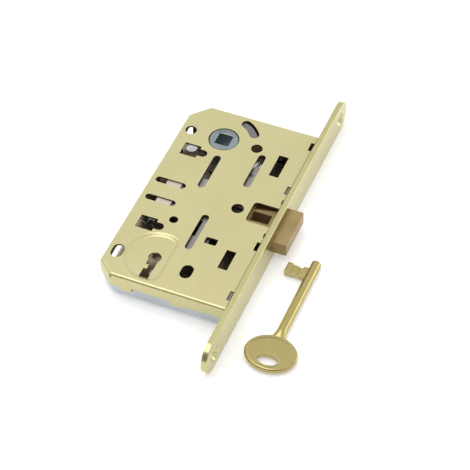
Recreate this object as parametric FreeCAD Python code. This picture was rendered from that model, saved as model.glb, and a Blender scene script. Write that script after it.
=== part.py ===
import FreeCAD, Part
import math
import os

# Key mortise lock with one central bolt, lying on its back, with its key beside it.
# Millimetres. Origin: centre of the forend's outer face. +X: the way the bolt comes out.
# +Y: along the forend, towards the follower. +Z: out of the cover.

V = FreeCAD.Vector

# ---- driving dimensions -------------------------------------------------------------
# forend (the plate seen in the door's edge)
forend_length = 196.0
forend_width = 18.0
forend_thickness = 3.0
forend_screw_spacing = 175.0
forend_screw_d = 4.6
forend_countersink_d = 9.0

# case: a cover with turned-down flanges over a base tray
backset = 50.0
key_to_follower = 90.0
follower_y = 43.5
key_y = follower_y - key_to_follower
recess_depth = 1.0
case_rear = -75.0
case_low = -65.8
case_high = 64.4
cover_top = 7.25
cover_sheet = 1.0
base_sheet = 1.2
case_bottom = -cover_top
shell_gap = 0.1
chamfer_high_x = 8.9
chamfer_high_y = 9.9
chamfer_low_x = 8.8
chamfer_low_y = 7.4
bend_radius = 1.6
cover_front = -forend_thickness - 0.8
flange_edge_z = -0.7
flange_lowest_z = -2.4

# openings that both faces of the case share
fixing_d = 6.2
fixing_spread = 38.0
oblong_y = -50.0
oblong_length = 9.0
boss_hole_r = 8.3
keyhole_r = 3.4
keyhole_slot_width = 5.2
keyhole_slot_reach = 14.5
guide_slot_width = 3.9
guide_slot_rear = -71.8
guide_slot_front = -54.9
guide_slot_ys = (3.6, -9.7)

# central bolt
bolt_height = 25.2
bolt_thickness = 8.0
bolt_projection = 7.8
bolt_rear = -21.0
bolt_clearance = 0.2
retract_travel = 7.7
throw_travel = 5.2

# follower
spindle_square = 8.1
hub_boss_r = 8.0
hub_disc_r = 10.5
push_arm_length = 18.3
push_arm_width = 5.0
washer_ear_r = 18.2
washer_ear_from_deg = 18.0
washer_ear_to_deg = 80.0

# layers of the mechanism, as (low Z, high Z)
washer_layer = (5.0, 6.1)
carriage_layer = (3.9, 5.1)
glide_layer = (5.1, 6.15)
tail_layer = (-1.5, 1.5)
cam_layer = (-1.3, 0.2)
throw_layer = (-3.0, -1.6)
lever_layer = (-4.6, -3.1)
floor_z = case_bottom + base_sheet
ceiling_z = cover_top - cover_sheet

# The base's rear wall is cut down behind the works: (from Y, to Y, height it keeps).
rear_wall_steps = ((-56.0, -7.0, floor_z), (-7.0, 40.0, cam_layer[1] - 0.5), (40.0, 53.0, floor_z))
rear_notch_ys = (53.0, 56.5)

# pins, posts and springs
carriage_rivet_r = 1.0
carriage_rivets_at = ((-55.6, 1.9), (-56.8, 9.5))
drive_pin_r = 2.0
drive_pins_at = ((-34.0, -1.1), (-44.5, -1.1))
bolt_rivet_r = 1.5
bolt_rivets_at = ((-19.2, -7.4), (-19.2, 7.4))
spring_pin_at = (-27.1, 26.0)
spring_pin_r = 1.3
guide_posts_at = ((-57.5, -2.2), (-37.5, 7.6))
guide_post_r = 1.8
guide_gap = 0.08
throw_post_at = (-41.5, -26.2)
throw_post_r = 1.5
bolt_spring_post_at = (-20.3, 51.5)
bolt_spring_post_r = 3.0
lever_pivot_at = (-69.5, -14.0)
lever_pivot_r = 2.0
lever_stud_at = (-62.0, -18.85)
stump_at = (-36.0, -26.0)
stump_r = 2.0
follower_anchor_at = (-57.1, 53.0)
lever_anchor_at = (-64.7, -22.2)
anchor_r = 1.4

# key
key_x = 23.5
key_shank_r = 2.7
key_tip_y = -9.1
key_bow_y = -72.9
key_bow_width = 27.0
key_bow_height = 22.2
key_bow_thickness = 3.0
key_eye_y = -77.6
key_eye_width = 11.0
key_eye_height = 6.9
key_bit_reach = 13.4
key_bit_from_y = -21.3
key_bit_to_y = -14.8
key_bit_thickness = 3.2
key_z = -forend_width / 2 + key_shank_r


# ---- helpers ------------------------------------------------------------------------
def box(x0, x1, y0, y1, z0, z1):
    return Part.makeBox(x1 - x0, y1 - y0, z1 - z0, V(x0, y0, z0))


def disc(x, y, r, z0, z1):
    return Part.makeCylinder(r, z1 - z0, V(x, y, z0), V(0, 0, 1))


def slot_along_x(x0, x1, y, width, z0, z1):
    r = width / 2
    shape = box(x0 + r, x1 - r, y - r, y + r, z0, z1)
    shape = shape.fuse(disc(x0 + r, y, r, z0, z1))
    return shape.fuse(disc(x1 - r, y, r, z0, z1)).removeSplitter()


def slot_along_y(x, y0, y1, width, z0, z1):
    r = width / 2
    shape = box(x - r, x + r, y0 + r, y1 - r, z0, z1)
    shape = shape.fuse(disc(x, y0 + r, r, z0, z1))
    return shape.fuse(disc(x, y1 - r, r, z0, z1)).removeSplitter()


def flat(points, z0, z1):
    """A plate with a straight-sided outline in XY."""
    wire = Part.makePolygon([V(x, y, z0) for x, y in points] + [V(points[0][0], points[0][1], z0)])
    return Part.Face(wire).extrude(V(0, 0, z1 - z0))


def fuse_all(shapes):
    whole = shapes[0]
    for shape in shapes[1:]:
        whole = whole.fuse(shape)
    return whole.removeSplitter()


def upright_edges_at(shape, points, reach=0.05):
    """The straight vertical edges that stand on the given XY points."""
    found = []
    for edge in shape.Edges:
        a = edge.Vertexes[0].Point
        b = edge.Vertexes[-1].Point
        if abs(a.x - b.x) > 1e-4 or abs(a.y - b.y) > 1e-4 or abs(a.z - b.z) < 0.1:
            continue
        if any(math.hypot(a.x - x, a.y - y) < reach for x, y in points):
            found.append(edge)
    return found


def level_edges_at(shape, z, keep):
    """The edges that lie at height z and whose middle passes the test keep(x, y)."""
    found = []
    for edge in shape.Edges:
        ends = edge.BoundBox
        if abs(ends.ZMin - z) > 1e-3 or abs(ends.ZMax - z) > 1e-3:
            continue
        middle = edge.CenterOfMass
        if keep(middle.x, middle.y):
            found.append(edge)
    return found


def case_outline(inset, front):
    """The case's outline, moved in from the cover's outer faces by inset."""
    rear = case_rear + inset
    low = case_low + inset
    high = case_high - inset
    low_x, low_y = chamfer_shift(chamfer_low_x, chamfer_low_y, inset)
    high_x, high_y = chamfer_shift(chamfer_high_x, chamfer_high_y, inset)
    return [
        (front, low),
        (case_rear + chamfer_low_x + low_x, low),
        (rear, case_low + chamfer_low_y + low_y),
        (rear, case_high - chamfer_high_y - high_y),
        (case_rear + chamfer_high_x + high_x, high),
        (front, high),
    ]


def chamfer_shift(leg_x, leg_y, inset):
    """How far a chamfer's two ends move along their edges when the outline is inset."""
    angle = math.atan2(leg_y, leg_x)
    return inset * math.tan(angle / 2), inset * math.tan((math.pi / 2 - angle) / 2)


def coil_spring(x, y, coil_r, wire_r, z0, z1, turns, start_deg, lead_in, lead_out):
    """A coil about a vertical axis with a straight leg at each end, along its tangents."""
    helix = Part.makeHelix((z1 - z0) / turns, z1 - z0, coil_r)
    helix.rotate(V(0, 0, 0), V(0, 0, 1), start_deg)
    helix.translate(V(x, y, z0))
    edge = helix.Edges[0]
    first = edge.valueAt(edge.FirstParameter)
    last = edge.valueAt(edge.LastParameter)
    into = edge.tangentAt(edge.FirstParameter)
    out = edge.tangentAt(edge.LastParameter)
    start = first - into * lead_in
    path = Part.Wire([
        Part.makeLine(start, first),
        edge,
        Part.makeLine(last, last + out * lead_out),
    ])
    ring = Part.Wire([Part.makeCircle(wire_r, start, into)])
    return path.makePipeShell([ring], True, False)


# ---- case ---------------------------------------------------------------------------
def shared_openings(z0, z1):
    """Holes that go through both faces: follower, handle fixings and escutcheon fixings."""
    half = fixing_spread / 2
    cuts = [disc(-backset, follower_y, boss_hole_r, z0, z1)]
    for side in (-half, half):
        cuts.append(disc(-backset + side, follower_y, fixing_d / 2, z0, z1))
        low = oblong_y - oblong_length / 2
        high = oblong_y + oblong_length / 2
        cuts.append(slot_along_y(-backset + side, low, high, fixing_d, z0, z1))
    return cuts


def keyhole(z0, z1):
    """A round hole and a slot for the bit, with a ward standing into the slot's rear side."""
    half = keyhole_slot_width / 2
    ward_low = 5.5
    ward_high = 8.4
    ward_depth = 1.8
    x = -backset
    slot = box(x - half, x + half, key_y - keyhole_slot_reach, key_y, z0, z1)
    ward = box(x - half, x - half + ward_depth, key_y - ward_high, key_y - ward_low, z0, z1)
    return slot.cut(ward).fuse(disc(-backset, key_y, keyhole_r, z0, z1))


def slotted_stamping(x, y, z0, z1):
    """A rectangular opening with a round-ended nub towards the forend."""
    body_x = x + 9.3
    nub_x = x + 14.1
    nub_r = 2.45
    shape = box(x, body_x, y - 4.4, y + 4.4, z0, z1)
    return shape.fuse(slot_along_x(body_x - 2 * nub_r, nub_x, y, 2 * nub_r, z0, z1))


def arc_slot(mean_r, width, from_deg, to_deg, z0, z1):
    """A curved slot about the follower's axis."""
    ring = disc(-backset, follower_y, mean_r + width / 2, z0, z1)
    ring = ring.cut(disc(-backset, follower_y, mean_r - width / 2, z0, z1))
    far = 60.0
    a = math.radians(from_deg)
    b = math.radians(to_deg)
    wedge = flat([
        (-backset, follower_y),
        (-backset + far * math.cos(a), follower_y + far * math.sin(a)),
        (-backset + far * math.cos(b), follower_y + far * math.sin(b)),
    ], z0, z1)
    shape = ring.common(wedge)
    for angle in (a, b):
        x = -backset + mean_r * math.cos(angle)
        y = follower_y + mean_r * math.sin(angle)
        shape = shape.fuse(disc(x, y, width / 2, z0, z1))
    return shape.removeSplitter()


def cover_only_openings(z0, z1):
    """Stampings in the cover that the lock's other versions use, and the window on the bolt."""
    front = cover_front + 1.0
    window = box(-17.3, front, -6.8, 7.4, z0, z1)
    window = window.makeFillet(2.2, upright_edges_at(window, [(-17.3, -6.8), (-17.3, 7.4)]))
    inspection = box(-30.9, -24.4, -28.8, -24.4, z0, z1)
    corners = [(-30.9, -28.8), (-30.9, -24.4), (-24.4, -28.8), (-24.4, -24.4)]
    inspection = inspection.makeFillet(0.8, upright_edges_at(inspection, corners))
    rear = guide_slot_rear
    guides = [slot_along_x(rear, guide_slot_front, y, guide_slot_width, z0, z1) for y in guide_slot_ys]
    return guides + [
        arc_slot(16.6, 5.4, 34.0, 65.0, z0, z1),
        slot_along_y(-47.8, 6.1, 31.0, 4.1, z0, z1),
        slot_along_y(-25.9, 15.2, 40.2, 4.0, z0, z1),
        slot_along_y(-36.85, -35.9, -10.6, 4.0, z0, z1),
        box(-18.0, -12.7, 27.7, 43.4, z0, z1),
        box(-17.9, -12.7, -41.8, -28.9, z0, z1),
        slotted_stamping(-67.9, 29.5, z0, z1),
        slotted_stamping(-67.9, -27.1, z0, z1),
        disc(-23.9, -0.5, 3.3, z0, z1),
        disc(-51.3, -20.0, 2.35, z0, z1),
        inspection,
        window,
        box(-4.5, front, 10.5, 13.8, z0, z1),
        box(-4.5, front, -14.3, -11.3, z0, z1),
    ]


def recess_wire(radius, flat_x, corner_r, z):
    """A circle about the key's axis with a straight side at flat_x and rounded corners."""
    inner_x = flat_x - corner_r
    offset = inner_x + backset
    reach = math.sqrt((radius - corner_r) ** 2 - offset ** 2)
    touch = radius / (radius - corner_r)
    high_centre = key_y + reach
    low_centre = key_y - reach
    corner = corner_r / math.sqrt(2)
    touch_x = -backset + offset * touch
    top = V(touch_x, key_y + reach * touch, z)
    bottom = V(touch_x, key_y - reach * touch, z)
    top_end = V(flat_x, high_centre, z)
    bottom_end = V(flat_x, low_centre, z)
    return Part.Wire([
        Part.Arc(top, V(-backset - radius, key_y, z), bottom).toShape(),
        Part.Arc(bottom, V(inner_x + corner, low_centre - corner, z), bottom_end).toShape(),
        Part.makeLine(bottom_end, top_end),
        Part.Arc(top_end, V(inner_x + corner, high_centre + corner, z), top).toShape(),
    ])


def key_recess(depth):
    """The dish pressed in round the keyhole: a flat floor and a wall that curves in and out."""
    rim_r = 16.6
    rim_flat_x = -41.6
    wall_run = 2.4
    corner = 3.4
    steps = 8
    rings = []
    for step in range(steps + 1):
        t = step / steps
        inset = wall_run * (1 - t)
        drop = depth * (1 + math.cos(math.pi * t)) / 2
        rings.append(recess_wire(rim_r - inset, rim_flat_x - inset, corner, cover_top - drop))
    rings.append(recess_wire(rim_r, rim_flat_x, corner, cover_top + 0.2))
    return Part.makeLoft(rings, True, True)


def flange_cut(y0, y1):
    """What is trimmed off a side flange: its lower edge steps down in two clip tongues."""
    deep = flange_lowest_z - 1.0
    profile = [
        (case_rear - 1, deep), (case_rear - 1, flange_edge_z), (-62.1, flange_edge_z),
        (-59.5, flange_lowest_z), (-54.8, flange_lowest_z), (-54.5, 0.5), (-34.2, 0.6),
        (-33.0, -2.1), (-27.7, -2.1), (-26.0, -0.4), (cover_front + 1, 0.0), (cover_front + 1, deep),
    ]
    points = [V(x, y0, z) for x, z in profile]
    return Part.Face(Part.makePolygon(points + [points[0]])).extrude(V(0, y1 - y0, 0))


def case_cover():
    outer = flat(case_outline(0, cover_front), flange_lowest_z, cover_top)
    corners = case_outline(0, cover_front)[1:5]
    outer = outer.makeFillet(bend_radius, upright_edges_at(outer, corners))
    outer = outer.makeFillet(
        bend_radius, level_edges_at(outer, cover_top, lambda x, y: x < cover_front - 0.01))
    inner = flat(case_outline(cover_sheet, cover_front + 1), flange_lowest_z - 1, ceiling_z)
    shell = outer.cut(inner)
    dish = key_recess(recess_depth)
    under_dish = dish.translated(V(0, 0, -cover_sheet))
    shell = shell.fuse(under_dish.common(box(-70, -35, -65, -25, 0, ceiling_z)))
    shell = shell.cut(dish)
    z0 = ceiling_z - 1.5
    z1 = cover_top + 1
    for cut in shared_openings(z0, z1) + cover_only_openings(z0, z1):
        shell = shell.cut(cut)
    shell = shell.cut(keyhole(z0, z1))
    for y0, y1 in tab_slots():
        shell = shell.cut(box(-5.65, -3.6, y0, y1, z0, z1))
    shell = shell.cut(flange_cut(case_low - 1, case_low + cover_sheet + 0.5))
    shell = shell.cut(flange_cut(case_high - cover_sheet - 0.5, case_high + 1))
    rear_depth = box(
        case_rear - 1, case_rear + chamfer_high_x + 1,
        case_low + cover_sheet + 0.4, case_high - cover_sheet - 0.4,
        flange_lowest_z - 1, flange_edge_z)
    shell = shell.cut(rear_depth)
    relief_r = 0.95
    inset = 0.3
    relief_z = cover_top - 1.6
    corners = case_outline(inset, cover_front)
    for x, y in (corners[1], corners[4]):
        shell = shell.cut(Part.makeSphere(relief_r, V(x, y, relief_z)))
    return shell


def tab_slots():
    """The four openings beside the forend; the base's tabs come up into every second one."""
    return [(52.4, 58.4), (17.9, 23.8), (-24.3, -18.2), (-59.6, -53.5)]


def case_base():
    inset = cover_sheet + shell_gap
    front = -forend_thickness
    wall_top = ceiling_z - 0.05
    outer = flat(case_outline(inset, front), case_bottom, wall_top)
    outer = outer.makeFillet(1.0, upright_edges_at(outer, case_outline(inset, front)[1:5]))
    outer = outer.makeFillet(
        bend_radius, level_edges_at(outer, case_bottom, lambda x, y: x < front - 0.01))
    hollow_outline = case_outline(inset + base_sheet, front - base_sheet)
    tray = outer.cut(flat(hollow_outline, floor_z, wall_top + 1))
    wall_inside = case_rear + inset + base_sheet + 0.01
    for y0, y1, z in rear_wall_steps:
        tray = tray.cut(box(case_rear - 1, wall_inside, y0, y1, z, wall_top + 1))
    y0, y1 = rear_notch_ys
    tray = tray.cut(box(case_rear - 1, wall_inside, y0, y1, case_bottom - 1, wall_top + 1))
    for cut in shared_openings(case_bottom - 1, floor_z + 1):
        tray = tray.cut(cut)
    tray = tray.cut(keyhole(case_bottom - 1, floor_z + 1))
    slot_y = bolt_height / 2 + bolt_clearance
    slot_z = bolt_thickness / 2 + bolt_clearance
    tray = tray.cut(box(front - 3, front + 1, -slot_y, slot_y, -slot_z, wall_top + 1))
    for y0, y1 in tab_slots()[1::2]:
        tray = tray.fuse(box(-5.2, front - 0.9, y0 + 0.4, y1 - 0.4, 4.5, cover_top - 0.3))
    return tray.removeSplitter()


def forend():
    half = forend_width / 2
    straight = forend_length / 2 - half
    plate = box(-forend_thickness, 0, -straight, straight, -half, half)
    for y in (-straight, straight):
        plate = plate.fuse(Part.makeCylinder(half, forend_thickness, V(-forend_thickness, y, 0), V(1, 0, 0)))
    plate = plate.removeSplitter()
    rim = [e for e in plate.Edges if abs(e.BoundBox.XMin) < 1e-4 and abs(e.BoundBox.XMax) < 1e-4]
    plate = plate.makeFillet(0.6, rim)
    sink = (forend_countersink_d - forend_screw_d) / 2
    for y in (-forend_screw_spacing / 2, forend_screw_spacing / 2):
        hole = Part.makeCylinder(
            forend_screw_d / 2, forend_thickness + 2, V(-forend_thickness - 1, y, 0), V(1, 0, 0))
        cone = Part.makeCone(
            forend_screw_d / 2, forend_countersink_d / 2 + 0.5, sink + 0.5, V(-sink, y, 0), V(1, 0, 0))
        plate = plate.cut(hole).cut(cone)
    y = bolt_height / 2 + bolt_clearance
    z = bolt_thickness / 2 + bolt_clearance
    mouth = box(-forend_thickness - 1, 1, -y, y, -z, z)
    lengthwise = [e for e in mouth.Edges if abs(e.BoundBox.XMax - e.BoundBox.XMin) > 1]
    return plate.cut(mouth.makeFillet(0.8, lengthwise))


# ---- fixed posts and springs ---------------------------------------------------------
def guide_posts():
    """Two posts from floor to ceiling that the carriage and the throw plate slide along."""
    posts = []
    for x, y in guide_posts_at:
        stem = disc(x, y, guide_post_r, floor_z, ceiling_z)
        foot = disc(x, y, guide_post_r + 1.2, floor_z, floor_z + 1.0)
        posts.append(stem.fuse(foot).removeSplitter())
    return Part.makeCompound(posts)


def throw_guide_post():
    x, y = throw_post_at
    return disc(x, y, throw_post_r, floor_z, throw_layer[1] + 0.05)


def bolt_spring_post():
    x, y = bolt_spring_post_at
    stem = disc(x, y, bolt_spring_post_r, floor_z, ceiling_z)
    return stem.fuse(disc(x, y, bolt_spring_post_r + 1.5, floor_z, -2.6)).removeSplitter()


def lever_pivot_post():
    x, y = lever_pivot_at
    stem = disc(x, y, lever_pivot_r, floor_z, 0.6)
    foot = disc(x, y, lever_pivot_r + 1.2, floor_z, lever_layer[0] - 0.15)
    return stem.fuse(foot).removeSplitter()


def spring_anchor_pins():
    pins = []
    for (x, y), top in ((follower_anchor_at, -2.0), (lever_anchor_at, -1.2)):
        pins.append(disc(x, y, anchor_r, floor_z, top))
    return Part.makeCompound(pins)


def bolt_spring():
    """Hairpin spring on its post: the long leg pushes the carriage's pin towards the forend."""
    x, y = bolt_spring_post_at
    return coil_spring(x, y, 3.9, 0.55, -1.6, 1.8, 2.5, -10.8, 6.0, 27.5)


def follower_spring():
    """Torsion spring round the follower's lower boss."""
    return coil_spring(-backset, follower_y, 9.15, 0.55, -5.0, -2.3, 2.25, 180.0, 11.0, 11.5)


def lever_spring():
    """Hairpin spring laid once round the lever's pivot, with one leg on the pin and one on the stud."""
    x, y = lever_pivot_at
    wire = 0.8
    mean_r = 2.9
    z0 = -2.2
    z1 = z0 + wire
    ring = disc(x, y, mean_r + wire / 2, z0, z1).cut(disc(x, y, mean_r - wire / 2, z0 - 1, z1 + 1))
    stud_leg = box(x, x + 8.0, y - mean_r - wire / 2, y - mean_r + wire / 2, z0, z1)
    pin_leg = box(x + mean_r - wire / 2, x + mean_r + wire / 2, y - 9.2, y, z0, z1)
    return fuse_all([ring, stud_leg, pin_leg])


# ---- follower -----------------------------------------------------------------------
def follower_hub():
    x = -backset
    y = follower_y
    shape = disc(x, y, hub_boss_r, case_bottom, cover_top)
    rims = [e for e in shape.Edges if e.BoundBox.ZLength < 1e-4]
    shape = shape.makeChamfer(0.5, rims)
    face_r = 6.7
    face_depth = 0.35
    for z0, z1 in ((cover_top - face_depth, cover_top + 1), (case_bottom - 1, case_bottom + face_depth)):
        shape = shape.cut(disc(x, y, face_r, z0, z1))
    shape = shape.fuse(disc(x, y, hub_disc_r, cam_layer[1], washer_layer[0] - 0.1))
    half = spindle_square / 2
    shape = shape.cut(box(x - half, x + half, y - half, y + half, case_bottom - 1, cover_top + 1))
    return shape.removeSplitter()


def follower_washer():
    """Thin washer between follower and cover, with an ear that lies under the arc slot."""
    x = -backset
    y = follower_y
    z0, z1 = washer_layer
    sector = disc(x, y, washer_ear_r, z0, z1)
    a = math.radians(washer_ear_from_deg)
    b = math.radians(washer_ear_to_deg)
    far = 40.0
    wedge = flat([
        (x, y),
        (x + far * math.cos(a), y + far * math.sin(a)),
        (x + far * math.cos(b), y + far * math.sin(b)),
    ], z0, z1)
    shape = disc(x, y, hub_disc_r, z0, z1).fuse(sector.common(wedge))
    return shape.cut(disc(x, y, boss_hole_r, z0 - 1, z1 + 1)).removeSplitter()


def follower_cam():
    """Steel arm pressed over the hub: its nose draws the carriage back."""
    x = -backset
    y = follower_y
    z0, z1 = cam_layer
    half = push_arm_width / 2
    nose_y = y - push_arm_length + half
    collar = disc(x, y, hub_disc_r + 1.4, z0, z1).cut(disc(x, y, hub_boss_r, z0 - 1, z1 + 1))
    tongue = box(x - half, x + half, nose_y, y - hub_boss_r - 0.6, z0, z1)
    nose = disc(x, nose_y, half, z0, z1)
    lug_x = x + 10.4
    lug_y = y - 7.2
    lug = disc(lug_x, lug_y, 1.3, z0 - 1.9, z1)
    return fuse_all([collar, tongue, nose, lug])


# ---- carriage -----------------------------------------------------------------------
def guide_slot(post_at, r, forward, back, z0, z1):
    """A slot round a post, long enough for a plate that moves forward and back along X."""
    x, y = post_at
    r = r + guide_gap
    return slot_along_x(x - r - forward, x + r + back, y, 2 * r, z0 - 1, z1 + 1)


def carriage_plate():
    """Flat slide under the cover, with an arm up to the bolt spring and a foot below."""
    z0, z1 = carriage_layer
    plate = flat([
        (-66.0, -13.4), (-66.0, 14.8), (-31.0, 14.8), (-28.2, 17.6), (-28.2, 33.0), (-22.2, 33.0),
        (-22.2, 3.0), (-29.4, 3.0), (-29.4, -36.2), (-40.4, -36.2), (-40.4, -24.6), (-37.7, -24.6),
        (-37.7, -13.4),
    ], z0, z1)
    rounded = [(-66.0, -13.4), (-66.0, 14.8), (-28.2, 33.0), (-22.2, 33.0)]
    plate = plate.makeFillet(2.4, upright_edges_at(plate, rounded))
    for post_at in guide_posts_at:
        reach = throw_travel + 0.2
        plate = plate.cut(guide_slot(post_at, guide_post_r, reach, retract_travel + 0.2, z0, z1))
    for x, y in carriage_rivets_at:
        plate = plate.cut(disc(x, y, carriage_rivet_r, z0 - 1, z1 + 1))
    for x, y in drive_pins_at:
        plate = plate.cut(disc(x, y, drive_pin_r, z0 - 1, z1 + 1))
    x, y = spring_pin_at
    plate = plate.cut(disc(x, y, spring_pin_r, z0 - 1, z1 + 1))
    for y in guide_slot_ys:
        plate = plate.cut(disc(-56.6, y + 2.7, 1.1, z0 - 1, z1 + 1))
    return plate


def carriage_spacer():
    """Block between the carriage plate and the hook."""
    z0 = cam_layer[1]
    z1 = carriage_layer[0]
    block = box(-65.0, -52.6, 0.3, 12.0, z0, z1)
    for x, y in carriage_rivets_at:
        block = block.cut(disc(x, y, carriage_rivet_r, z0 - 1, z1 + 1))
    return block


def carriage_hook():
    """Bar under the spacer: the follower's nose comes against its upright front edge."""
    z0, z1 = cam_layer
    plate = flat([
        (-64.6, 0.3), (-64.6, 31.2), (-58.3, 31.2), (-58.3, 15.0), (-52.6, 12.0), (-52.6, 0.3),
    ], z0, z1)
    plate = plate.makeFillet(1.5, upright_edges_at(plate, [(-64.6, 31.2), (-64.6, 0.3)]))
    for x, y in carriage_rivets_at:
        plate = plate.cut(disc(x, y, carriage_rivet_r, z0 - 1, z1 + 1))
    return plate


def carriage_rivets():
    low = cam_layer[0]
    high = carriage_layer[1]
    return Part.makeCompound([disc(x, y, carriage_rivet_r, low, high) for x, y in carriage_rivets_at])


def glide_pads():
    """Two plastic pads on the carriage that run along the cover beneath its guide slots."""
    z0, z1 = glide_layer
    pads = []
    for y in guide_slot_ys:
        pad = box(-65.9, -57.7, y - 1.3, y + 3.3, z0, z1)
        corners = [(-65.9, y - 1.3), (-65.9, y + 3.3), (-57.7, y - 1.3), (-57.7, y + 3.3)]
        pads.append(pad.makeFillet(1.0, upright_edges_at(pad, corners)))
    return Part.makeCompound(pads)


def carriage_drive_pins():
    low = tail_layer[0]
    high = carriage_layer[1]
    return Part.makeCompound([disc(x, y, drive_pin_r, low, high) for x, y in drive_pins_at])


def bolt_spring_pin():
    x, y = spring_pin_at
    return disc(x, y, spring_pin_r, 2.0, carriage_layer[1])


# ---- bolt ---------------------------------------------------------------------------
def bolt_head():
    half_y = bolt_height / 2
    half_z = bolt_thickness / 2
    block = box(bolt_rear, bolt_projection, -half_y, half_y, -half_z, half_z)
    lengthwise = [e for e in block.Edges if e.BoundBox.XLength > 1]
    block = block.makeFillet(0.6, lengthwise)
    nose = [e for e in block.Edges if abs(e.BoundBox.XMin - bolt_projection) < 1e-3]
    block = block.makeFillet(0.7, nose)
    pocket = box(-16.6, -6.3, -2.7, 4.0, -3.0, half_z + 1)
    corners = [(-16.6, -2.7), (-16.6, 4.0), (-6.3, -2.7), (-6.3, 4.0)]
    pocket = pocket.makeFillet(0.6, upright_edges_at(pocket, corners))
    shoulder = flat([(-17.0, 5.3), (-5.0, 7.8), (-5.0, 14.0), (-17.0, 14.0)], 1.9, half_z + 1)
    block = block.cut(pocket).cut(shoulder)
    seat = box(bolt_rear - 1, -17.4, -half_y - 1, half_y + 1, tail_layer[0], tail_layer[1])
    block = block.cut(seat)
    for x, y in bolt_rivets_at:
        block = block.cut(disc(x, y, bolt_rivet_r, -half_z - 1, half_z + 1))
    return block


def bolt_rivets():
    half_z = bolt_thickness / 2
    return Part.makeCompound([disc(x, y, bolt_rivet_r, -half_z, half_z) for x, y in bolt_rivets_at])


def bolt_tail():
    """Steel tail of the bolt: a bar to the carriage's pins, and an ear that rests on the throw."""
    z0, z1 = tail_layer
    crosspiece = box(-24.0, -17.4, -9.8, 9.8, z0, z1)
    bar = box(-47.5, -24.0, -6.0, 3.8, z0, z1)
    ear = box(-40.0, -36.0, -9.4, -6.0, z0, z1)
    tail = fuse_all([crosspiece, bar, ear])
    for x, y in drive_pins_at:
        tail = tail.cut(disc(x, y, drive_pin_r, z0 - 1, z1 + 1))
    for x, y in bolt_rivets_at:
        tail = tail.cut(disc(x, y, bolt_rivet_r, z0 - 1, z1 + 1))
    return tail


# ---- throw --------------------------------------------------------------------------
def throw_plate():
    """Plate that the key's bit moves: talon notch below, guide slots, and a lug before the bolt."""
    z0, z1 = throw_layer
    talon_y = key_y + key_bit_reach - 1.3
    plate = flat([
        (-66.5, 1.6), (-53.0, 1.6), (-53.0, -6.2), (-33.6, -6.2), (-33.6, -12.0), (-45.5, -12.0),
        (-45.5, -20.0), (-33.4, -20.0), (-33.4, -29.0), (-45.5, -29.0), (-45.5, talon_y),
        (-58.0, talon_y), (-58.0, -6.2), (-66.5, -6.2),
    ], z0, z1)
    lug_clearance = 0.1
    ear_front = -36.0
    lug = box(ear_front + lug_clearance, -34.3, -9.4, -6.4, z0, tail_layer[1])
    plate = plate.fuse(lug).removeSplitter()
    middle = -backset - throw_travel / 2
    notch_half = 3.15
    notch = box(middle - notch_half, middle + notch_half, talon_y - 1, talon_y + 1.9, z0 - 1, z1 + 1)
    plate = plate.cut(notch)
    forward = throw_travel + 0.2
    plate = plate.cut(guide_slot(guide_posts_at[0], guide_post_r, forward, 0.2, z0, z1))
    plate = plate.cut(guide_slot(throw_post_at, throw_post_r, forward, 0.2, z0, z1))
    x, y = stump_at
    return plate.cut(disc(x, y, stump_r, z0 - 1, z1 + 1))


def locking_stump():
    x, y = stump_at
    return disc(x, y, stump_r, lever_layer[0] - 0.3, throw_layer[1])


# ---- locking lever ------------------------------------------------------------------
def locking_lever():
    """Lever that the key lifts: its tooth stands in front of the throw plate's stump."""
    z0, z1 = lever_layer
    px, py = lever_pivot_at
    edge_y = stump_at[1] + stump_r + 0.3
    ramp_x = stump_at[0] + stump_r + 0.4
    ramp_end = ramp_x + 5.2
    tooth_y = edge_y - 0.36 * (ramp_end - ramp_x)
    belly_y = key_y + key_bit_reach - 2.0
    body = flat([
        (px - 1.0, py + 3.6), (px + 6.0, py + 3.2), (-48.0, -17.2), (-27.6, -19.6), (-27.6, tooth_y),
        (ramp_end, tooth_y), (ramp_x, edge_y), (-46.3, edge_y), (-46.3, belly_y + 1.6),
        (-48.2, belly_y), (-52.0, belly_y), (-56.0, -30.0), (-60.0, -20.4), (-66.4, -19.6),
        (px - 1.0, py - 3.6),
    ], z0, z1)
    body = body.fuse(disc(px, py, 3.7, z0, z1)).removeSplitter()
    return body.cut(disc(px, py, lever_pivot_r + 0.05, z0 - 1, z1 + 1))


def lever_stud():
    """Stud on the lever that its spring's leg presses."""
    x, y = lever_stud_at
    return disc(x, y, 0.9, lever_layer[1], 0.5)


# ---- key ----------------------------------------------------------------------------
def ellipse_disc(x, y, width, height, z0, z1):
    major = Part.Ellipse(V(x, y, z0), width / 2, height / 2)
    return Part.Face(Part.Wire([major.toShape()])).extrude(V(0, 0, z1 - z0))


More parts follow.
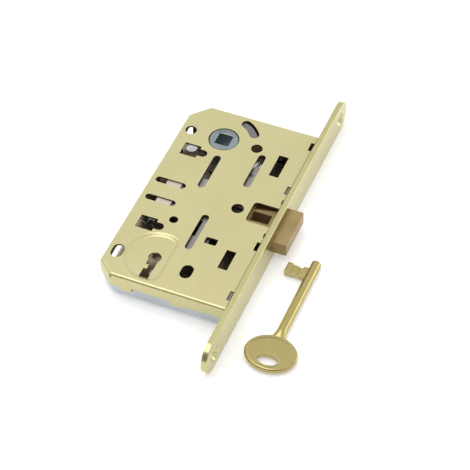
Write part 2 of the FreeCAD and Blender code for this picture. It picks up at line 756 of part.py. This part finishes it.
def key():
    top = key_z + key_bow_thickness / 2
    low = key_z - key_bow_thickness / 2
    bow_top_y = key_bow_y + key_bow_height / 2
    length = key_tip_y - bow_top_y - 3.0
    shank = Part.makeCylinder(key_shank_r, length, V(key_x, bow_top_y + 3.0, key_z), V(0, 1, 0))
    tip = [e for e in shank.Edges if abs(e.BoundBox.YMin - key_tip_y) < 1e-3]
    shank = shank.makeFillet(1.1, tip)
    bow = ellipse_disc(key_x, key_bow_y, key_bow_width, key_bow_height, low, top)
    bow = bow.makeFillet(1.0, [e for e in bow.Edges if e.BoundBox.ZLength < 1e-3])
    face_depth = 0.35
    rim = 1.7
    for z0, z1 in ((top - face_depth, top + 1), (low - 1, low + face_depth)):
        inner_width = key_bow_width - 2 * rim
        inner_height = key_bow_height - 2 * rim
        bow = bow.cut(ellipse_disc(key_x, key_bow_y, inner_width, inner_height, z0, z1))
    lip = ellipse_disc(key_x, key_eye_y, key_eye_width + 1.8, key_eye_height + 1.8, low + 0.1, top - 0.1)
    body = fuse_all([shank, bow, lip, key_neck(bow_top_y), key_bit()])
    return body.cut(ellipse_disc(key_x, key_eye_y, key_eye_width, key_eye_height, low - 1, top + 1))


def key_neck(bow_top_y):
    """The shank widens and flattens into the bow."""
    rings = []
    for y, wide, thick in ((5.0, 2.7, 2.7), (3.0, 2.85, 2.6), (1.0, 3.3, 2.2), (-0.8, 4.0, 1.7)):
        centre = V(key_x, bow_top_y + y, key_z)
        if wide > thick:
            ring = Part.Ellipse(centre + V(wide, 0, 0), centre + V(0, 0, thick), centre)
        else:
            ring = Part.Circle(centre, V(0, -1, 0), wide)
        rings.append(Part.Wire([ring.toShape()]))
    return Part.makeLoft(rings, True, False)


def key_bit():
    """The bit, with shallow grooves for the keyhole's ward and a cut at its foot for the lever."""
    half = key_bit_thickness / 2
    outer = key_x - key_bit_reach
    low = key_z - half
    high = key_z + half
    blade = box(outer, key_x - 1.0, key_bit_from_y, key_bit_to_y, low, high)
    for radius, width, depth in ((5.0, 1.8, 0.7), (8.6, 2.0, 0.9)):
        x = key_x - radius - width
        blade = blade.cut(box(x, x + width, key_bit_from_y - 1, key_bit_to_y + 1, high - depth, high + 1))
    x = key_x - 8.0
    blade = blade.cut(box(x, x + 2.4, key_bit_from_y - 1, key_bit_to_y + 1, low - 1, low + 0.9))
    step = box(outer + 4.6, outer + 8.6, key_bit_to_y - 0.9, key_bit_to_y + 1, low - 1, high + 1)
    return blade.cut(step)


# ---- every node ---------------------------------------------------------------------
NODES = {
    "case_cover": case_cover,
    "case_base": case_base,
    "forend": forend,
    "guide_posts": guide_posts,
    "throw_guide_post": throw_guide_post,
    "bolt_spring_post": bolt_spring_post,
    "lever_pivot_post": lever_pivot_post,
    "spring_anchor_pins": spring_anchor_pins,
    "follower_washer": follower_washer,
    "bolt_spring": bolt_spring,
    "follower_spring": follower_spring,
    "lever_spring": lever_spring,
    "follower_hub": follower_hub,
    "follower_cam": follower_cam,
    "carriage_plate": carriage_plate,
    "carriage_spacer": carriage_spacer,
    "carriage_hook": carriage_hook,
    "glide_pads": glide_pads,
    "carriage_rivets": carriage_rivets,
    "carriage_drive_pins": carriage_drive_pins,
    "bolt_spring_pin": bolt_spring_pin,
    "bolt_head": bolt_head,
    "bolt_tail": bolt_tail,
    "bolt_rivets": bolt_rivets,
    "throw_plate": throw_plate,
    "locking_stump": locking_stump,
    "locking_lever": locking_lever,
    "lever_stud": lever_stud,
    "key": key,
}

os.makedirs("parts", exist_ok=True)
for name, make in NODES.items():
    shape = make()
    shape.exportStep("parts/" + name + ".step")
    size = shape.BoundBox
    print(name, "solids", len(shape.Solids), "valid", shape.isValid(), "volume", round(shape.Volume, 1),
          "X", round(size.XMin, 2), round(size.XMax, 2), "Y", round(size.YMin, 2), round(size.YMax, 2),
          "Z", round(size.ZMin, 2), round(size.ZMax, 2))
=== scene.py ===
import math

import bpy
from mathutils import Matrix, Vector


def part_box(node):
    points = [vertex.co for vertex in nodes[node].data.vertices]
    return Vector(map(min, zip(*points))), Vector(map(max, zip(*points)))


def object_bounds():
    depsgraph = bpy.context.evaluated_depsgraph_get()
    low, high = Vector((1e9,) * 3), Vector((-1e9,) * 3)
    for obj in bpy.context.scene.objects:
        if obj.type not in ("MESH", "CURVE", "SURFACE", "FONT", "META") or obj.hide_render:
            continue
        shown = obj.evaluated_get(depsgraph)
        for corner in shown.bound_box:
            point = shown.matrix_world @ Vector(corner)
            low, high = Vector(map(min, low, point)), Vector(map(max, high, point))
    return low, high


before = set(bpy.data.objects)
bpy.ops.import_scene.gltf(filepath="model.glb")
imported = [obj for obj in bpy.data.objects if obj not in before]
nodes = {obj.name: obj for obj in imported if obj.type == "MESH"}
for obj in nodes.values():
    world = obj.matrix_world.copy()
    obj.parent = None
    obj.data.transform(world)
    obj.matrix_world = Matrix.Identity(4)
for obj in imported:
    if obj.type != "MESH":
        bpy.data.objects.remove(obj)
cad_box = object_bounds()

# Metres, in the part's own frame: +X is the way the bolt comes out, +Y runs along the forend
# towards the follower, +Z points out of the cover. Colours are linear RGB.
MM = 0.001
MICRON = 0.000001
WHITE = (1.0, 1.0, 1.0, 1.0)

# ---- places on the lock, from the frame ---------------------------------------------------
CASE_LOW, CASE_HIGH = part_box("case_cover")
CASE_MIDDLE = ((CASE_LOW.x + CASE_HIGH.x) / 2, (CASE_LOW.y + CASE_HIGH.y) / 2, 0.0)
COVER_SHEET = 1.0 * MM
UNDER_COVER = CASE_HIGH.z - COVER_SHEET * 1.05
FOREND_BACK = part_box("forend")[0].x
BOLT_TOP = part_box("bolt_head")[1].z

# ---- camera: a long lens beyond the key's end, looking down on the cover --------------------
CAMERA_AT = Vector((0.23034, -0.60092, 0.70421))
LOOK_AT = Vector((-0.02065, -0.01198, 0.0))
ROLL = math.radians(0.771)
LENS_MM = 141.87
SENSOR_MM = 36.0
CLIP_START = 0.05
CLIP_END = 20.0


def add_camera():
    data = bpy.data.cameras.new("camera")
    data.lens = LENS_MM
    data.sensor_width = SENSOR_MM
    data.sensor_fit = "HORIZONTAL"
    data.clip_start = CLIP_START
    data.clip_end = CLIP_END
    camera = bpy.data.objects.new("camera", data)
    bpy.context.scene.collection.objects.link(camera)
    camera.location = CAMERA_AT
    turn = (LOOK_AT - CAMERA_AT).to_track_quat("-Z", "Y").to_matrix()
    camera.rotation_euler = (turn @ Matrix.Rotation(-ROLL, 3, "Z")).to_euler()
    bpy.context.scene.camera = camera


# ---- material building --------------------------------------------------------------------
NOISE_ENDS = (0.35, 0.65)           # most of a noise lies between these
BEVEL_SAMPLES = 4
EDGE_COSINES = (0.75, 0.97)         # between flat and rounded normal: fully lightened (wear and painted highlight), not lightened
SEAM_SAMPLES = 8
SEAM_OPENNESS = (0.45, 0.8)         # share of open space round a point: darkest painted shade, unshaded
SEAM_STRENGTH = 0.8
MIDDLE_AWAY = 0.2                   # how far above or below a level face the middle is taken to be
INWARD_ENDS = (-0.5 * MM, 0.5 * MM)
UPRIGHT_SLOPES = (0.05, 0.1)        # size of the normal's Z: upright, no longer upright

# ShaderNodeMix has several inputs of the same name, so they are taken by their place.
MIX_FACTOR = 0
MIX_A = 6
MIX_B = 7
MIX_COLOUR = 2


class Graph:
    """A material whose nodes are added one line at a time. A value is a node's output."""

    def __init__(self, name):
        self.material = bpy.data.materials.new(name)
        self.material.use_nodes = True
        self.tree = self.material.node_tree
        self.shader = self.tree.nodes["Principled BSDF"]
        self.place = self.add("ShaderNodeTexCoord").outputs["Object"]

    def add(self, kind, **settings):
        node = self.tree.nodes.new(kind)
        for key, value in settings.items():
            setattr(node, key, value)
        return node

    def link(self, a, b):
        self.tree.links.new(a, b)

    def stretched(self, scale):
        node = self.add("ShaderNodeMapping")
        node.inputs["Scale"].default_value = scale
        self.link(self.place, node.inputs["Vector"])
        return node.outputs["Vector"]

    def noise(self, scale, detail, rough=0.55, stretch=None):
        """Clouds, scale of them to a metre."""
        node = self.add("ShaderNodeTexNoise")
        node.inputs["Scale"].default_value = scale
        node.inputs["Detail"].default_value = detail
        node.inputs["Roughness"].default_value = rough
        self.link(self.stretched(stretch) if stretch else self.place, node.inputs["Vector"])
        return node.outputs["Fac"]

    def cells(self, scale):
        """Round pits, scale of them to a metre."""
        node = self.add("ShaderNodeTexVoronoi")
        node.inputs["Scale"].default_value = scale
        self.link(self.place, node.inputs["Vector"])
        return node.outputs["Distance"]

    def ramp(self, value, low, high):
        """From one colour to the other over the range of a noise."""
        node = self.add("ShaderNodeValToRGB")
        ends = node.color_ramp.elements
        ends[0].position = NOISE_ENDS[0]
        ends[1].position = NOISE_ENDS[1]
        ends[0].color = (*low, 1.0)
        ends[1].color = (*high, 1.0)
        self.link(value, node.inputs["Fac"])
        return node.outputs["Color"]

    def span(self, value, low, high, at=(0.3, 0.7)):
        """From low to high while the value goes from at[0] to at[1]."""
        node = self.add("ShaderNodeMapRange")
        node.inputs["From Min"].default_value = at[0]
        node.inputs["From Max"].default_value = at[1]
        node.inputs["To Min"].default_value = low
        node.inputs["To Max"].default_value = high
        self.link(value, node.inputs["Value"])
        return node.outputs["Result"]

    def mix(self, factor, a, b):
        """a where the factor is 0, b where it is 1. Each of them is a colour or a value."""
        node = self.add("ShaderNodeMix", data_type="RGBA")
        self.link(factor, node.inputs[MIX_FACTOR])
        for index, value in ((MIX_A, a), (MIX_B, b)):
            if isinstance(value, tuple):
                node.inputs[index].default_value = (*value, 1.0)
            else:
                self.link(value, node.inputs[index])
        return node.outputs[MIX_COLOUR]

    def times(self, a, b):
        node = self.add("ShaderNodeMath", operation="MULTIPLY")
        self.link(a, node.inputs[0])
        self.link(b, node.inputs[1])
        return node.outputs[0]

    def dot(self, a, b):
        node = self.add("ShaderNodeVectorMath", operation="DOT_PRODUCT")
        self.link(a, node.inputs[0])
        self.link(b, node.inputs[1])
        return node.outputs["Value"]

    def axis(self, letter):
        """The place along one axis, in metres."""
        node = self.add("ShaderNodeSeparateXYZ")
        self.link(self.place, node.inputs["Vector"])
        return node.outputs[letter]

    def rounded(self, radius):
        """The normal of the surface with its edges rounded to this radius."""
        node = self.add("ShaderNodeBevel", samples=BEVEL_SAMPLES)
        node.inputs["Radius"].default_value = radius
        return node.outputs["Normal"]

    def worn_highlit_edges(self, colour, wear_highlight_colour, amount, width):
        """Lightens a band of this width at edges: partly wear, where handling and tumbling rub the
        plating, partly a painted highlight along the edges.
        """
        flat = self.add("ShaderNodeNewGeometry").outputs["True Normal"]
        rubbed_or_lit = self.span(self.dot(self.rounded(width), flat), amount, 0.0, at=EDGE_COSINES)
        return self.mix(rubbed_or_lit, colour, wear_highlight_colour)

    def seam_shade(self, colour, shade_tone, reach):
        """Darkens a surface close to where another one meets it: painted shade in the joints and
        crevices.
        """
        node = self.add("ShaderNodeAmbientOcclusion", samples=SEAM_SAMPLES)
        node.inputs["Distance"].default_value = reach
        shaded = self.span(node.outputs["AO"], SEAM_STRENGTH, 0.0, at=SEAM_OPENNESS)
        return self.mix(shaded, colour, shade_tone)

    def facing_in(self, side):
        """1 on a shell's faces inside the case. side is 1 if its inner face looks up, else -1."""
        inward = self.add("ShaderNodeVectorMath", operation="SUBTRACT")
        inward.inputs[0].default_value = CASE_MIDDLE
        self.link(self.place, inward.inputs[1])
        level = self.add("ShaderNodeVectorMath", operation="MULTIPLY_ADD")
        self.link(inward.outputs["Vector"], level.inputs[0])
        level.inputs[1].default_value = (1.0, 1.0, 0.0)
        level.inputs[2].default_value = (0.0, 0.0, MIDDLE_AWAY * side)
        normal = self.add("ShaderNodeNewGeometry").outputs["Normal"]
        return self.span(self.dot(level.outputs["Vector"], normal), 0.0, 1.0, at=INWARD_ENDS)

    def upright(self):
        """1 on upright faces."""
        geometry = self.add("ShaderNodeNewGeometry")
        parts = self.add("ShaderNodeSeparateXYZ")
        self.link(geometry.outputs["True Normal"], parts.inputs["Vector"])
        steep = self.add("ShaderNodeMath", operation="ABSOLUTE")
        self.link(parts.outputs["Z"], steep.inputs[0])
        return self.span(steep.outputs[0], 1.0, 0.0, at=UPRIGHT_SLOPES)

    def finish(self, colour, roughness, metallic, relief, bevel):
        """Fills in the shader. relief is a list of (value, height in metres)."""
        self.link(colour, self.shader.inputs["Base Color"])
        self.link(roughness, self.shader.inputs["Roughness"])
        self.shader.inputs["Metallic"].default_value = metallic
        normal = self.rounded(bevel)
        for value, height in relief:
            node = self.add("ShaderNodeBump")
            node.inputs["Distance"].default_value = height
            self.link(value, node.inputs["Height"])
            self.link(normal, node.inputs["Normal"])
            normal = node.outputs["Normal"]
        self.link(normal, self.shader.inputs["Normal"])
        return self.material


# ---- kinds of material --------------------------------------------------------------------
GRAIN_ALONG_X = (0.05, 1.0, 1.0)
GRAIN_ALONG_Y = (1.0, 0.05, 1.0)
TURNING_MARKS = (0.3, 0.3, 3.0)
LOOKS_UP = 1
LOOKS_DOWN = -1
# colour and reach of the painted shade in joints and crevices
SEAM_SHADE = (0.10, 0.09, 0.06)
SEAM_REACH = 0.9 * MM


def plated_sheet(name, light, dark, edge_wear_highlight, rough, metallic, grain, inside_shade_and_reflection=None, shade_above=None):
    """Plated sheet metal: fine rolling grain one way, faint clouding, edges lightened by wear and
    by a painted highlight.
    The inside colour is painted shade on faces inside the case, on the base also a painted warm
    reflection of the brass, given with where the inner face looks.
    The dark top colour is painted shade on what lies above a height, given with that height and
    whether it is on upright faces only: the walls of the cover's cut-outs, and the base's tabs in
    the cover's slits."""
    g = Graph(name)
    cloud = g.noise(scale=45.0, detail=3.0)
    streak = g.noise(scale=900.0, detail=5.0, rough=0.6, stretch=grain)
    speck = g.noise(scale=4200.0, detail=2.0)
    colour = g.ramp(cloud, dark, light)
    colour = g.mix(g.span(streak, low=0.0, high=0.12), colour, dark)
    colour = g.worn_highlit_edges(colour, edge_wear_highlight, amount=0.5, width=0.25 * MM)
    if inside_shade_and_reflection:
        tone, side = inside_shade_and_reflection
        colour = g.mix(g.facing_in(side), colour, tone)
    if shade_above:
        tone, height, upright_only = shade_above
        top_shade = g.span(g.axis("Z"), 0.0, 1.0, at=(height - 0.1 * MM, height))
        if upright_only:
            top_shade = g.times(top_shade, g.upright())
        colour = g.mix(top_shade, colour, tone)
    # painted shade where other surfaces close in
    colour = g.seam_shade(colour, SEAM_SHADE, SEAM_REACH)
    roughness = g.span(streak, rough - 0.05, rough + 0.07)
    relief = [(streak, 0.8 * MICRON), (speck, 0.5 * MICRON)]
    return g.finish(colour, roughness, metallic, relief, bevel=0.12 * MM)


def turned(name, light, dark, rough):
    """Bare machined steel with fine turning marks."""
    g = Graph(name)
    ring = g.noise(scale=1600.0, detail=3.0, rough=0.5, stretch=TURNING_MARKS)
    cloud = g.noise(scale=120.0, detail=3.0)
    colour = g.mix(g.span(ring, low=0.0, high=0.35), g.ramp(cloud, dark, light), dark)
    # edges lightened: wear, partly a painted highlight
    colour = g.worn_highlit_edges(colour, light, amount=0.5, width=0.2 * MM)
    roughness = g.span(ring, rough - 0.06, rough + 0.08)
    relief = [(ring, 8 * MICRON)]
    return g.finish(colour, roughness, metallic=1.0, relief=relief, bevel=0.1 * MM)


def cast(name, light, dark, edge_wear_highlight, rough, metallic, pit_depth):
    """Die-cast metal: soft mottling, fine pitting, and polished edges lightened in colour, partly
    as a painted highlight.
    """
    g = Graph(name)
    cloud = g.noise(scale=160.0, detail=5.0)
    fine = g.noise(scale=1500.0, detail=3.0)
    pits = g.cells(scale=1100.0)
    colour = g.mix(g.span(fine, low=0.0, high=0.3), g.ramp(cloud, dark, light), dark)
    colour = g.worn_highlit_edges(colour, edge_wear_highlight, amount=0.7, width=0.4 * MM)
    roughness = g.span(fine, rough - 0.02, rough + 0.04)
    relief = [(fine, 0.6 * MICRON), (pits, pit_depth)]
    return g.finish(colour, roughness, metallic, relief, bevel=0.15 * MM)


def moulded(name, light, dark, rough, shade=None):
    """Moulded plastic with a fine spark-eroded grain. shade is a painted shade on its parts inside
    the case, and the X and Z which they lie behind and below."""
    g = Graph(name)
    cloud = g.noise(scale=90.0, detail=3.0)
    grain = g.cells(scale=2600.0)
    # edges lightened: wear, partly a painted highlight
    colour = g.worn_highlit_edges(g.ramp(cloud, dark, light), light, amount=0.35, width=0.3 * MM)
    if shade:
        # painted shade on the part inside the case, behind the forend and below the bolt's top
        tone, x, z = shade
        behind = g.span(g.axis("X"), 1.0, 0.0, at=(x - 0.8 * MM, x))
        below = g.span(g.axis("Z"), 1.0, 0.0, at=(z - 0.2 * MM, z))
        colour = g.mix(g.times(behind, below), colour, tone)
    roughness = g.span(grain, rough - 0.05, rough + 0.05, at=(0.0, 0.8))
    relief = [(grain, 6 * MICRON)]
    return g.finish(colour, roughness, metallic=0.0, relief=relief, bevel=0.3 * MM)


# ---- what each piece is made of -------------------------------------------------------------
def dress(material, *names):
    for name in names:
        for slot in nodes[name].material_slots:
            slot.material = material


def dress_shells():
    """The yellow-plated cover and forend, and the zinc-plated base with its tabs."""
    dress(plated_sheet(
        "cover_plating", light=(0.618, 0.573, 0.306), dark=(0.594, 0.549, 0.287),
        edge_wear_highlight=(0.86, 0.82, 0.55), rough=0.30, metallic=0.75, grain=GRAIN_ALONG_Y,
        # the inside colour is painted shade inside the case; the dark top colour is painted shade
        # on the walls of its cut-outs
        inside_shade_and_reflection=((0.32, 0.26, 0.18), LOOKS_DOWN), shade_above=((0.16, 0.13, 0.08), UNDER_COVER, True)),
        "case_cover")
    dress(plated_sheet(
        "forend_plating", light=(0.572, 0.531, 0.267), dark=(0.536, 0.494, 0.242),
        edge_wear_highlight=(0.87, 0.83, 0.55), rough=0.22, metallic=0.9, grain=GRAIN_ALONG_Y),
        "forend")
    dress(plated_sheet(
        "zinc_plating", light=(0.53, 0.567, 0.60), dark=(0.455, 0.492, 0.525),
        edge_wear_highlight=(0.70, 0.74, 0.79), rough=0.30, metallic=0.85, grain=GRAIN_ALONG_X,
        # the inside colour is painted shade with a painted warm reflection of the brass cover; the
        # dark top colour is painted shade on the tabs in the cover's slits
        inside_shade_and_reflection=((0.54, 0.43, 0.31), LOOKS_UP), shade_above=((0.22, 0.20, 0.16), UNDER_COVER, False)),
        "case_base")


def dress_strips():
    """The works' flat pieces, of plain steel."""
    dress(plated_sheet(
        "carriage_steel", light=(0.37, 0.35, 0.32), dark=(0.29, 0.275, 0.25),
        edge_wear_highlight=(0.50, 0.48, 0.45), rough=0.40, metallic=0.85, grain=GRAIN_ALONG_X),
        "carriage_plate")
    dress(plated_sheet(
        "washer_steel", light=(0.26, 0.25, 0.255), dark=(0.19, 0.18, 0.186),
        edge_wear_highlight=(0.40, 0.39, 0.39), rough=0.40, metallic=0.85, grain=GRAIN_ALONG_X),
        "follower_washer")
    dress(plated_sheet(
        "dark_strip", light=(0.36, 0.33, 0.29), dark=(0.25, 0.23, 0.20),
        edge_wear_highlight=(0.45, 0.42, 0.38), rough=0.45, metallic=0.7, grain=GRAIN_ALONG_X),
        "carriage_spacer", "carriage_hook", "bolt_tail", "throw_plate", "locking_lever",
        "follower_cam")


def dress_pins_and_springs():
    dress(turned(
        "turned_steel", light=(0.22, 0.22, 0.23), dark=(0.12, 0.12, 0.13), rough=0.35),
        "guide_posts", "throw_guide_post", "bolt_spring_post", "lever_pivot_post",
        "spring_anchor_pins", "carriage_rivets", "carriage_drive_pins", "bolt_spring_pin",
        "bolt_rivets", "locking_stump", "lever_stud")
    dress(turned(
        "spring_wire", light=(0.40, 0.41, 0.43), dark=(0.25, 0.26, 0.27), rough=0.28),
        "bolt_spring", "follower_spring", "lever_spring")


def dress_castings():
    dress(cast(
        "follower_casting", light=(0.30, 0.365, 0.367), dark=(0.235, 0.28, 0.29),
        edge_wear_highlight=(0.66, 0.70, 0.71), rough=0.36, metallic=0.85, pit_depth=3 * MICRON),
        "follower_hub")
    dress(cast(
        "key_casting", light=(0.463, 0.383, 0.157), dark=(0.445, 0.368, 0.148),
        edge_wear_highlight=(0.85, 0.78, 0.48), rough=0.24, metallic=0.95, pit_depth=0.0),
        "key")


def dress_plastics():
    dress(moulded(
        "bolt_plastic", light=(0.37, 0.265, 0.10), dark=(0.31, 0.22, 0.078), rough=0.40,
        shade=((0.22, 0.13, 0.06), FOREND_BACK - 0.5 * MM, BOLT_TOP - 0.4 * MM)),
        "bolt_head")
    dress(moulded(
        "glide_plastic", light=(0.68, 0.62, 0.54), dark=(0.60, 0.54, 0.47), rough=0.45),
        "glide_pads")


# ---- floor --------------------------------------------------------------------------------
FLOOR_REACH = 6.0
FLOOR_TONES = ((0.93, 0.93, 0.93), (0.95, 0.95, 0.95))
FLOOR_ROUGHNESS = 0.9
FLOOR_GLOW = 0.27


def add_floor():
    """White paper under the lowest point of the part. It glows a little, so it stays white."""
    reach = FLOOR_REACH
    z = cad_box[0][2]
    mesh = bpy.data.meshes.new("floor")
    corners = [(-reach, -reach, z), (reach, -reach, z), (reach, reach, z), (-reach, reach, z)]
    mesh.from_pydata(corners, [], [(0, 1, 2, 3)])
    floor = bpy.data.objects.new("floor", mesh)
    bpy.context.scene.collection.objects.link(floor)
    g = Graph("floor_paper")
    g.link(g.ramp(g.noise(scale=3.0, detail=2.0), *FLOOR_TONES), g.shader.inputs["Base Color"])
    g.shader.inputs["Roughness"].default_value = FLOOR_ROUGHNESS
    g.shader.inputs["Emission Color"].default_value = WHITE
    g.shader.inputs["Emission Strength"].default_value = FLOOR_GLOW
    mesh.materials.append(g.material)


# ---- light --------------------------------------------------------------------------------
LIGHT_AIM = Vector((-0.03, 0.0, 0.0))
ROOM_DIRECTIONS = (-0.75, -0.15)    # the Y of a direction: where it is darkest, where fully lit
ROOM_STRENGTHS = (0.25, 1.0)


def add_softbox(name, at, size, power):
    data = bpy.data.lights.new(name, "AREA")
    data.shape = "RECTANGLE"
    data.size = size[0]
    data.size_y = size[1]
    data.energy = power
    light = bpy.data.objects.new(name, data)
    light.location = at
    light.rotation_euler = (LIGHT_AIM - Vector(at)).to_track_quat("-Z", "Y").to_euler()
    bpy.context.scene.collection.objects.link(light)


def add_world():
    """A white studio, darker on the camera's side, where the room isn't lit."""
    world = bpy.data.worlds.new("studio")
    world.use_nodes = True
    tree = world.node_tree
    background = tree.nodes["Background"]
    background.inputs["Color"].default_value = WHITE
    direction = tree.nodes.new("ShaderNodeTexCoord")
    parts = tree.nodes.new("ShaderNodeSeparateXYZ")
    strength = tree.nodes.new("ShaderNodeMapRange")
    strength.inputs["From Min"].default_value = ROOM_DIRECTIONS[0]
    strength.inputs["From Max"].default_value = ROOM_DIRECTIONS[1]
    strength.inputs["To Min"].default_value = ROOM_STRENGTHS[0]
    strength.inputs["To Max"].default_value = ROOM_STRENGTHS[1]
    tree.links.new(direction.outputs["Generated"], parts.inputs["Vector"])
    tree.links.new(parts.outputs["Y"], strength.inputs["Value"])
    tree.links.new(strength.outputs["Result"], background.inputs["Strength"])
    bpy.context.scene.world = world


def add_light():
    add_world()
    add_softbox("softbox_top", at=(-0.33, -0.12, 1.2), size=(1.1, 0.7), power=4.4)
    add_softbox("softbox_right", at=(0.90, 0.75, 0.32), size=(0.4, 0.4), power=1.0)
    bpy.context.scene.view_settings.view_transform = "Standard"


add_camera()
dress_shells()
dress_strips()
dress_pins_and_springs()
dress_castings()
dress_plastics()
add_floor()
add_light()
